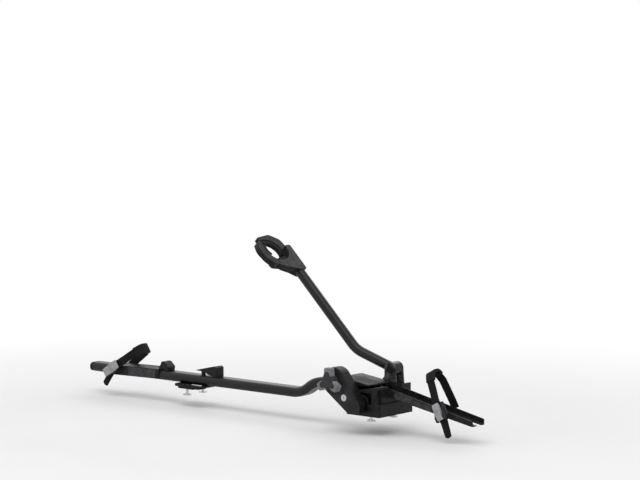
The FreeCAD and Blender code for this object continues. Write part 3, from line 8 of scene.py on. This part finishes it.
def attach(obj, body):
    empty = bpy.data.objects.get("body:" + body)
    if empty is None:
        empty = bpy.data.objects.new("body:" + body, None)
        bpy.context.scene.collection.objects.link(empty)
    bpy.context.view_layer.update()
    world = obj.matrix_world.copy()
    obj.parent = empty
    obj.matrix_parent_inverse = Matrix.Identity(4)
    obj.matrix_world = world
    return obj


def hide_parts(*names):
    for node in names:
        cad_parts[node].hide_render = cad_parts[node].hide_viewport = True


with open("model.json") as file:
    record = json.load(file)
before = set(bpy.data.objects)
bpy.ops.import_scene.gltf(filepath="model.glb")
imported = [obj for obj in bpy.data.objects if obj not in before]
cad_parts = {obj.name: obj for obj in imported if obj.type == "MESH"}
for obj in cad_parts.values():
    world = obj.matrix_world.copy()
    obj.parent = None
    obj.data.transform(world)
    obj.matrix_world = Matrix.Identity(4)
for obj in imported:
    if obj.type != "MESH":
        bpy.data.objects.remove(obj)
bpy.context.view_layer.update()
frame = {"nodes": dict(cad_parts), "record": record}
print("frame loaded")

cameraFacts = {
    "place": (3.3528, -4.2317, 0.8848), "looks": (-0.6431, 0.7618, -0.0771),
    "lens": 113.98, "sensor": 36.0, "near": 0.1, "far": 100.0,
}
cameraData = bpy.data.cameras.new("camera")
cameraData.sensor_width = cameraFacts["sensor"]
cameraData.lens = cameraFacts["lens"]
cameraData.clip_start = cameraFacts["near"]
cameraData.clip_end = cameraFacts["far"]
camera = bpy.data.objects.new("camera", cameraData)
camera.location = cameraFacts["place"]
camera.rotation_mode = "QUATERNION"
camera.rotation_quaternion = Vector(cameraFacts["looks"]).to_track_quat("-Z", "Y")
bpy.context.scene.collection.objects.link(camera)
bpy.context.scene.camera = camera
print("camera placed")

shaderFacts = {"metal": 0.0, "ior": 1.47, "gloss": 0.15, "coat": 0.0, "coatRough": 0.2}


def shaderSet(name, facts):
    facts = {**shaderFacts, **facts}
    mat = bpy.data.materials.new(name)
    mat.use_nodes = True
    tree = mat.node_tree
    shader = tree.nodes["Principled BSDF"]
    shader.inputs["Metallic"].default_value = facts["metal"]
    shader.inputs["IOR"].default_value = facts["ior"]
    shader.inputs["Specular IOR Level"].default_value = facts["gloss"]
    shader.inputs["Coat Weight"].default_value = facts["coat"]
    shader.inputs["Coat Roughness"].default_value = facts["coatRough"]
    return mat, tree, shader


def objectPlace(tree):
    return tree.nodes.new("ShaderNodeTexCoord").outputs["Object"]


def noiseOf(tree, vector, scale, detail, roughness=0.5):
    noise = tree.nodes.new("ShaderNodeTexNoise")
    noise.inputs["Scale"].default_value = scale
    noise.inputs["Detail"].default_value = detail
    noise.inputs["Roughness"].default_value = roughness
    tree.links.new(vector, noise.inputs["Vector"])
    return noise.outputs["Fac"]


def stretched(tree, vector, scale, turn):
    mapping = tree.nodes.new("ShaderNodeMapping")
    mapping.inputs["Scale"].default_value = scale
    mapping.inputs["Rotation"].default_value = turn
    tree.links.new(vector, mapping.inputs["Vector"])
    return mapping.outputs["Vector"]


def ranged(tree, value, span, low=0.0, high=1.0):
    node = tree.nodes.new("ShaderNodeMapRange")
    node.inputs["From Min"].default_value, node.inputs["From Max"].default_value = span
    node.inputs["To Min"].default_value = low
    node.inputs["To Max"].default_value = high
    tree.links.new(value, node.inputs["Value"])
    return node.outputs["Result"]


def linkOrSet(tree, socket, value):
    if isinstance(value, bpy.types.NodeSocket):
        tree.links.new(value, socket)
    else:
        socket.default_value = value


def blended(tree, share, first, second):
    node = tree.nodes.new("ShaderNodeMix")
    node.data_type = "RGBA"
    tree.links.new(share, node.inputs["Factor"])
    for socket, value in ((node.inputs["A"], first), (node.inputs["B"], second)):
        linkOrSet(tree, socket, (*value, 1.0) if isinstance(value, tuple) else value)
    return node.outputs["Result"]


def combined(tree, first, second, kind="MULTIPLY"):
    node = tree.nodes.new("ShaderNodeMath")
    node.operation = kind
    for socket, value in zip(node.inputs, (first, second)):
        linkOrSet(tree, socket, value)
    return node.outputs["Value"]


def paler(colour, times, lift=0.0):
    return tuple(min(1.0, c * times + lift) for c in colour)


def edgeRub(tree, place, facts):   # wear that shows on rounded edges only, in patches
    edge = tree.nodes.new("ShaderNodeAttribute")
    edge.attribute_name = "edgeWear"
    patches = ranged(tree, noiseOf(tree, place, *facts["rub"]), facts["rubSpan"], 0.0, facts["wear"])
    return combined(tree, edge.outputs["Fac"], patches)


def bumped(tree, shader, layers):   # layers: (height, distance, strength), one for each size of relief
    last = None
    for height, distance, strength in layers:
        bump = tree.nodes.new("ShaderNodeBump")
        bump.inputs["Distance"].default_value = distance
        bump.inputs["Strength"].default_value = strength
        tree.links.new(height, bump.inputs["Height"])
        if last is not None:
            tree.links.new(last, bump.inputs["Normal"])
        last = bump.outputs["Normal"]
    tree.links.new(last, shader.inputs["Normal"])


# Noise is given as (scale, detail, roughness), a span as the part of it that is used
plasticFacts = {
    "fade": 1.3, "cloud": (14.0, 4.0), "cloudSpan": (0.35, 0.65),
    "speck": (420.0, 2.0), "speckSpan": (0.55, 0.72), "speckShare": 0.35, "speckPale": 1.5,
    "wear": 0.6, "rub": (90.0, 5.0, 0.7), "rubSpan": (0.42, 0.6), "rubPale": 2.6, "rubLift": 0.01,
    "roughNoise": (30.0, 5.0, 0.6), "roughSpan": (0.3, 0.7), "smoother": 0.06, "rougher": 0.08, "rubShine": -0.12,
    "wave": (60.0, 2.0), "waveDepth": 0.0006, "waveShow": 0.06,
    "grain": 900.0, "grainDepth": 0.0002, "relief": 0.25,
}


def mouldedPlastic(name, facts):
    facts = {**plasticFacts, **facts}
    mat, tree, shader = shaderSet(name, facts)
    place = objectPlace(tree)
    base = facts["colour"]
    pale = paler(base, facts["fade"])
    cloud = ranged(tree, noiseOf(tree, place, *facts["cloud"]), facts["cloudSpan"])
    speck = ranged(tree, noiseOf(tree, place, *facts["speck"]), facts["speckSpan"])
    colour = blended(tree, cloud, base, pale)
    speckShare = combined(tree, speck, facts["speckShare"])
    colour = blended(tree, speckShare, colour, paler(pale, facts["speckPale"]))
    rubbed = edgeRub(tree, place, facts)
    worn = facts.get("worn", paler(base, facts["rubPale"], facts["rubLift"]))
    tree.links.new(blended(tree, rubbed, colour, worn), shader.inputs["Base Color"])
    rough = ranged(tree, noiseOf(tree, place, *facts["roughNoise"]), facts["roughSpan"],
                   facts["rough"] - facts["smoother"], facts["rough"] + facts["rougher"])
    shine = combined(tree, rubbed, facts["rubShine"])
    tree.links.new(combined(tree, rough, shine, "ADD"), shader.inputs["Roughness"])
    cells = tree.nodes.new("ShaderNodeTexVoronoi")
    cells.inputs["Scale"].default_value = facts["grain"]
    tree.links.new(place, cells.inputs["Vector"])
    bumped(tree, shader, [
        (noiseOf(tree, place, *facts["wave"]), facts["waveDepth"], facts["waveShow"]),
        (cells.outputs["Distance"], facts["grainDepth"], facts["relief"]),
    ])
    return mat


metalFacts = {
    "fade": 1.4, "turn": (0, 0, 0), "lineScale": 260.0, "lineDetail": 3.0,
    "patches": (11.0, 5.0), "patchSpan": (0.35, 0.68),
    "lineSpan": (0.5, 0.8), "lineShow": 0.4, "linePale": 1.7,
    "wear": 0.5, "rub": (70.0, 5.0, 0.7), "rubSpan": (0.45, 0.6), "worn": (0.25, 0.25, 0.26),
    "roughSpan": (0.3, 0.7), "smoother": 0.05, "rougher": 0.09,
    "lineDepth": 0.00012, "relief": 0.2, "grit": (380.0, 2.0), "gritDepth": 0.00015, "gritShow": 0.12,
}


def drawnMetal(name, facts):
    facts = {**metalFacts, **facts}
    mat, tree, shader = shaderSet(name, facts)
    place = objectPlace(tree)
    base = facts["colour"]
    pale = paler(base, facts["fade"])
    along = stretched(tree, place, facts["lines"], facts["turn"])
    lines = noiseOf(tree, along, facts["lineScale"], facts["lineDetail"])
    patches = ranged(tree, noiseOf(tree, place, *facts["patches"]), facts["patchSpan"])
    colour = blended(tree, patches, base, pale)
    drawn = ranged(tree, lines, facts["lineSpan"], 0.0, facts["lineShow"])
    colour = blended(tree, drawn, colour, paler(pale, facts["linePale"]))
    rubbed = edgeRub(tree, place, facts)
    tree.links.new(blended(tree, rubbed, colour, facts["worn"]), shader.inputs["Base Color"])
    rough = ranged(tree, lines, facts["roughSpan"],
                   facts["rough"] - facts["smoother"], facts["rough"] + facts["rougher"])
    tree.links.new(rough, shader.inputs["Roughness"])
    bumped(tree, shader, [
        (lines, facts["lineDepth"], facts["relief"]),
        (noiseOf(tree, place, *facts["grit"]), facts["gritDepth"], facts["gritShow"]),
    ])
    return mat


rubberFacts = {
    "fade": 1.8, "bloom": (35.0, 6.0, 0.65), "bloomSpan": (0.45, 0.75), "bloomShow": 0.7,
    "dust": (700.0, 1.0), "dustSpan": (0.6, 0.75), "dustShow": 0.4, "dustPale": 3.0, "dustLift": 0.004,
    "smoother": 0.05, "rougher": 0.1, "sheen": 0.02,
    "wave": (160.0, 3.0), "waveDepth": 0.0004, "waveShow": 0.15,
    "grit": (1500.0, 2.0), "gritDepth": 0.0001, "gritShow": 0.3,
}


def softRubber(name, facts):
    facts = {**rubberFacts, **facts}
    mat, tree, shader = shaderSet(name, facts)
    place = objectPlace(tree)
    base = facts["colour"]
    bloom = ranged(tree, noiseOf(tree, place, *facts["bloom"]), facts["bloomSpan"], 0.0, facts["bloomShow"])
    colour = blended(tree, bloom, base, paler(base, facts["fade"]))
    dust = ranged(tree, noiseOf(tree, place, *facts["dust"]), facts["dustSpan"], 0.0, facts["dustShow"])
    colour = blended(tree, dust, colour, paler(base, facts["dustPale"], facts["dustLift"]))
    tree.links.new(colour, shader.inputs["Base Color"])
    rough = ranged(tree, bloom, (0.0, facts["bloomShow"]),
                   facts["rough"] - facts["smoother"], facts["rough"] + facts["rougher"])
    tree.links.new(rough, shader.inputs["Roughness"])
    shader.inputs["Sheen Weight"].default_value = facts["sheen"]
    bumped(tree, shader, [
        (noiseOf(tree, place, *facts["wave"]), facts["waveDepth"], facts["waveShow"]),
        (noiseOf(tree, place, *facts["grit"]), facts["gritDepth"], facts["gritShow"]),
    ])
    return mat


finishFacts = {
    "basePlastic": (mouldedPlastic, {
        "colour": (0.0052, 0.0052, 0.0058), "rough": 0.42, "grain": 1100.0, "relief": 0.22}),
    "coverPlastic": (mouldedPlastic, {
        "colour": (0.0145, 0.0145, 0.0158), "rough": 0.46, "grain": 1000.0, "relief": 0.28}),
    "trayPlastic": (mouldedPlastic, {
        "colour": (0.0068, 0.0068, 0.0074), "rough": 0.45, "grain": 950.0, "relief": 0.26}),
    "platePlastic": (mouldedPlastic, {
        "colour": (0.0225, 0.0225, 0.0252), "rough": 0.38, "grain": 1500.0, "relief": 0.12}),
    "knobGrey": (mouldedPlastic, {
        "colour": (0.15, 0.152, 0.158), "rough": 0.44, "grain": 1300.0, "relief": 0.16,
        "fade": 1.12, "worn": (0.34, 0.34, 0.35)}),
    "knobDark": (mouldedPlastic, {
        "colour": (0.028, 0.028, 0.0305), "rough": 0.5, "grain": 900.0, "relief": 0.3}),
    "leverGrey": (mouldedPlastic, {
        "colour": (0.27, 0.275, 0.287), "rough": 0.4, "grain": 1300.0, "relief": 0.14,
        "fade": 1.1, "worn": (0.42, 0.42, 0.43)}),
    "buckleDark": (mouldedPlastic, {
        "colour": (0.009, 0.009, 0.0098), "rough": 0.4, "grain": 1100.0, "relief": 0.2}),
    "strapRubber": (softRubber, {
        "colour": (0.0055, 0.0055, 0.006), "rough": 0.52, "gloss": 0.1}),
    "padRubber": (softRubber, {
        "colour": (0.009, 0.009, 0.0095), "rough": 0.66, "gloss": 0.1}),
    "railBlack": (drawnMetal, {
        "colour": (0.0075, 0.0075, 0.0083), "rough": 0.3, "gloss": 0.24, "coat": 0.08, "coatRough": 0.22,
        "lines": (0.02, 1.0, 1.0), "lineShow": 0.3, "worn": (0.16, 0.16, 0.17)}),
    "armBlack": (drawnMetal, {
        "colour": (0.006, 0.006, 0.0068), "rough": 0.24, "gloss": 0.22, "coat": 0.12, "coatRough": 0.16,
        "lines": (0.03, 1.0, 1.0), "turn": (0, 0.778, 0), "lineShow": 0.25, "worn": (0.13, 0.13, 0.14)}),
    "steelBlack": (drawnMetal, {
        "colour": (0.011, 0.011, 0.012), "rough": 0.4, "coat": 0.15,
        "lines": (1.0, 1.0, 0.6), "lineShow": 0.2, "worn": (0.18, 0.18, 0.19)}),
    "zincSteel": (drawnMetal, {
        "colour": (0.5, 0.5, 0.5), "rough": 0.32, "metal": 1.0,
        "lines": (1.0, 1.0, 0.1), "lineScale": 500.0, "worn": (0.66, 0.66, 0.66)}),
    "lockChrome": (drawnMetal, {
        "colour": (0.52, 0.52, 0.53), "rough": 0.24, "metal": 1.0, "fade": 1.1,
        "lines": (1.0, 1.0, 1.0), "lineScale": 900.0, "lineShow": 0.15}),
}
finishes = {name: maker(name, facts) for name, (maker, facts) in finishFacts.items()}
slotFinish = {
    "rail_black": "railBlack", "arm_black": "armBlack", "steel_black": "steelBlack", "bolt_zinc": "zincSteel",
    "base_plastic": "basePlastic", "cover_plastic": "coverPlastic", "tray_plastic": "trayPlastic",
    "plate_plastic": "platePlastic", "knob_grey": "knobGrey", "knob_dark": "knobDark",
    "lock_chrome": "lockChrome", "strap_rubber": "strapRubber", "pad_rubber": "padRubber",
    "buckle_dark": "buckleDark", "buckle_grey": "leverGrey",
}
record = frame["record"]
nodeSlot = {part["node"]: part["material_slot"] for part in record["subparts"]}
nodeBody = {node: body for body, nodes in record["behaviour"]["bodies"].items() for node in nodes}
for name, piece in frame["nodes"].items():
    piece.data.materials.clear()
    piece.data.materials.append(finishes[slotFinish[nodeSlot[name]]])
print("materials made")


def linked(name, data):
    made = bpy.data.objects.new(name, data)
    bpy.context.scene.collection.objects.link(made)
    return made


def meshFrom(bm, name):
    mesh = bpy.data.meshes.new(name)
    bm.to_mesh(mesh)
    bm.free()
    return mesh


def newPiece(name, mesh, body, slotName, smoothAngle):
    mesh.shade_smooth()
    mesh.set_sharp_from_angle(angle=math.radians(smoothAngle))
    mesh.materials.clear()
    mesh.materials.append(finishes[slotFinish[slotName]])
    piece = linked(name, mesh)
    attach(piece, body)
    return piece


def spot(x, y, z):   # a place given in millimetres
    return Matrix.Translation(Vector((x, y, z)) / 1000)


def strapAxes(origin, lean):   # a strap's own axes: across it, along Y, and up along it
    t = math.radians(lean)
    up = Vector((math.cos(t), 0, math.sin(t)))
    across = Vector((math.sin(t), 0, -math.cos(t)))
    turn = Matrix((across, Vector((0, 1, 0)), up)).transposed().to_4x4()
    return spot(origin[0], 0, origin[1]) @ turn


barFacts = {"steps": 2, "smooth": 40.0}


def bars(name, places, facts, body, slotName):   # small rounded bars, sizes in millimetres
    bm = bmesh.new()
    grow = Matrix.Diagonal((*(s / 1000 for s in facts["size"]), 1.0))
    for place in places:
        bmesh.ops.create_cube(bm, size=1.0, matrix=place @ grow)
    bmesh.ops.bevel(bm, geom=bm.edges[:], offset=facts["edge"] / 1000, affect="EDGES",
                    segments=barFacts["steps"], profile=0.5, material=-1)
    return newPiece(name, meshFrom(bm, name), body, slotName, barFacts["smooth"])


toothFacts = {"size": (15.0, 0.9, 2.1), "edge": 0.3, "pitch": 4.2, "face": -40.3, "upperStart": 16.5, "upperCount": 2}
gripFacts = {"depth": 1.6, "height": 1.3, "edge": 0.4, "pitch": 3.4, "face": -53.6, "count": 4}
strapPlans = {   # teeth: how far along the tail the first and the last tooth may stand
    "front": {
        "body": "base", "leverBody": "front_lever", "origin": (218, 40), "lean": 118.8,
        "tailBend": -38, "tailLean": -8.5, "teeth": (4.0, 36.0), "gripLow": -12.0, "gripWidth": 15.0,
    },
    "rear": {
        "body": "rear_saddle", "leverBody": "rear_strap_lever", "origin": (-990, 40), "lean": 33.9,
        "tailBend": 0, "tailLean": 20.0, "teeth": (44.0, 64.0), "gripLow": -8.0, "gripWidth": 20.0,
    },
}
for side, plan in strapPlans.items():
    axes = strapAxes(plan["origin"], plan["lean"])
    pitch = toothFacts["pitch"]
    tailTurn = Matrix.Rotation(math.radians(-plan["tailLean"]), 4, "Y")
    tail = axes @ spot(0, toothFacts["face"], plan["tailBend"]) @ tailTurn
    first, last = plan["teeth"]
    places = [tail @ spot(0, 0, -first - pitch * i) for i in range(int((last - first) / pitch) + 1)]
    places += [axes @ spot(0, toothFacts["face"], toothFacts["upperStart"] + pitch * i)
               for i in range(toothFacts["upperCount"])]
    bars(side + "_strap_teeth", places, toothFacts, plan["body"], "strap_rubber")
    places = [axes @ spot(0, gripFacts["face"], 0) @ spot(0, 0, plan["gripLow"] + gripFacts["pitch"] * i)
              for i in range(gripFacts["count"])]
    grip = {"size": (plan["gripWidth"], gripFacts["depth"], gripFacts["height"]), "edge": gripFacts["edge"]}
    bars(side + "_lever_grips", places, grip, plan["leverBody"], "buckle_grey")
print("strap teeth cut")

cleanFacts = {"weld": 4e-6, "flat": 0.6, "shortEdge": 2e-5, "sharp": 30.0, "smooth": 35.0}


def softened(node, width, steps):   # the node's own shape with its sharp edges rounded
    bm = bmesh.new()
    bm.from_mesh(frame["nodes"][node].data)
    bmesh.ops.remove_doubles(bm, verts=bm.verts, dist=cleanFacts["weld"])
    flat = math.radians(cleanFacts["flat"])
    bmesh.ops.dissolve_limit(bm, angle_limit=flat, verts=bm.verts, edges=bm.edges)
    bmesh.ops.dissolve_degenerate(bm, edges=bm.edges, dist=cleanFacts["shortEdge"])
    limit = math.radians(cleanFacts["sharp"])
    sharp = [e for e in bm.edges if len(e.link_faces) == 2 and e.calc_face_angle(0.0) > limit]
    made = bmesh.ops.bevel(bm, geom=sharp, offset=width, offset_type="OFFSET", affect="EDGES",
                           segments=steps, profile=0.5, material=-1, clamp_overlap=False, miter_outer="ARC")
    rounded = {v for f in made["faces"] for v in f.verts}
    worn = [1.0 if v in rounded else 0.0 for v in bm.verts]
    name = node + "_dressed"
    mesh = meshFrom(bm, name)
    mesh.attributes.new("edgeWear", "FLOAT", "POINT").data.foreach_set("value", worn)
    piece = newPiece(name, mesh, nodeBody[node], nodeSlot[node], cleanFacts["smooth"])
    piece.modifiers.new("normals", "WEIGHTED_NORMAL").keep_sharp = True
    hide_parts(node)


softEdges = {   # node: (edge radius in metres, steps)
    "base_housing": (0.0007, 2), "knob_housing": (0.0006, 2), "housing_front": (0.0004, 2),
    "drive_cover": (0.0008, 3), "front_tray": (0.0007, 2), "rear_holder": (0.0007, 2),
    "rail_wedge": (0.0006, 2), "pivot_bracket": (0.0005, 2), "holder_body": (0.0009, 2),
    "holder_cover": (0.0007, 2), "near_claw": (0.0014, 3), "far_claw": (0.0014, 3),
    "near_claw_pad": (0.0008, 2), "far_claw_pad": (0.0008, 2), "palm_pad": (0.0008, 2),
    "knob_body": (0.0006, 2), "knob_grips": (0.0009, 3), "knob_cap": (0.0004, 2),
    "front_buckle_lever": (0.0008, 3), "rear_buckle_lever": (0.0008, 3),
    "front_buckle_body": (0.0004, 2), "rear_buckle_body": (0.0004, 2),
    "rear_bracket": (0.0006, 2), "rear_lever": (0.0004, 2),
    "front_strap": (0.0005, 2), "rear_strap": (0.0005, 2),
    "front_rim_pad": (0.0009, 3), "rear_rim_pad": (0.0009, 3),
    "front_label_plate": (0.0003, 2), "rear_label_plate": (0.0003, 2),
    "tray_side_plate": (0.0003, 2), "rail_end_cap": (0.0004, 2),
}
for node, (width, steps) in softEdges.items():
    softened(node, width, steps)
print("edges softened")

# The floor shows soft shadows near the carrier and turns plain white further out
floorFacts = {
    "colour": (0.8, 0.8, 0.8), "pale": 1.03, "rough": 0.7, "gloss": 0.2, "size": 9.0, "grid": 4,
    "centre": (-0.38, 0.0), "drop": -0.049, "tone": (2.0, 3.0), "toneSpan": (0.3, 0.7), "fadeSpan": (0.75, 1.9),
}
bm = bmesh.new()
bmesh.ops.create_grid(bm, x_segments=floorFacts["grid"], y_segments=floorFacts["grid"], size=floorFacts["size"])
floorMesh = meshFrom(bm, "floor")
floor = linked("floor", floorMesh)
floor.location = (*floorFacts["centre"], floorFacts["drop"])
floorMat, floorTree, floorShader = shaderSet("floorPaint", {"gloss": floorFacts["gloss"]})


def seenRays(tree):
    rays = tree.nodes.new("ShaderNodeLightPath")
    return combined(tree, rays.outputs["Is Camera Ray"], rays.outputs["Is Glossy Ray"], "MAXIMUM")


floorPlace = objectPlace(floorTree)
floorTone = ranged(floorTree, noiseOf(floorTree, floorPlace, *floorFacts["tone"]), floorFacts["toneSpan"])
floorPale = tuple(c * floorFacts["pale"] for c in floorFacts["colour"])
floorColour = blended(floorTree, floorTone, floorFacts["colour"], floorPale)
floorTree.links.new(floorColour, floorShader.inputs["Base Color"])
floorShader.inputs["Roughness"].default_value = floorFacts["rough"]
reach = floorTree.nodes.new("ShaderNodeVectorMath")
reach.operation = "LENGTH"
floorTree.links.new(floorPlace, reach.inputs[0])
fade = ranged(floorTree, reach.outputs["Value"], floorFacts["fadeSpan"])
glow = floorTree.nodes.new("ShaderNodeEmission")
meet = floorTree.nodes.new("ShaderNodeMixShader")
floorTree.links.new(combined(floorTree, fade, seenRays(floorTree)), meet.inputs["Fac"])
floorTree.links.new(floorShader.outputs["BSDF"], meet.inputs[1])
floorTree.links.new(glow.outputs["Emission"], meet.inputs[2])
floorTree.links.new(meet.outputs["Shader"], floorTree.nodes["Material Output"].inputs["Surface"])
floorMesh.materials.append(floorMat)

lightPlans = {
    "keyLight": {"place": (-0.3, -0.9, 2.6), "aim": (-0.4, 0.0, 0.1), "size": (2.6, 1.8), "power": 26.0},
    "fillLight": {"place": (2.6, -2.2, 1.4), "aim": (-0.3, 0.0, 0.1), "size": (1.8, 1.4), "power": 7.0},
    "backLight": {"place": (-1.4, 2.4, 1.7), "aim": (-0.5, 0.0, 0.15), "size": (2.6, 0.9), "power": 15.0},
}
for name, plan in lightPlans.items():
    data = bpy.data.lights.new(name, "AREA")
    data.shape = "RECTANGLE"
    data.size, data.size_y = plan["size"]
    data.energy = plan["power"]
    lamp = linked(name, data)
    lamp.location = plan["place"]
    lamp.rotation_mode = "QUATERNION"
    lamp.rotation_quaternion = (Vector(plan["aim"]) - Vector(plan["place"])).to_track_quat("-Z", "Y")

skyFacts = {"colour": (1.0, 1.0, 1.0, 1.0), "light": 0.72, "shown": 1.0}
world = bpy.data.worlds.new("studio")
bpy.context.scene.world = world
world.use_nodes = True
skyTree = world.node_tree
sky = skyTree.nodes["Background"]
sky.inputs["Color"].default_value = skyFacts["colour"]
skyStrength = ranged(skyTree, seenRays(skyTree), (0.0, 1.0), skyFacts["light"], skyFacts["shown"])
skyTree.links.new(skyStrength, sky.inputs["Strength"])
bpy.context.scene.view_settings.view_transform = "Standard"
print("stage set")
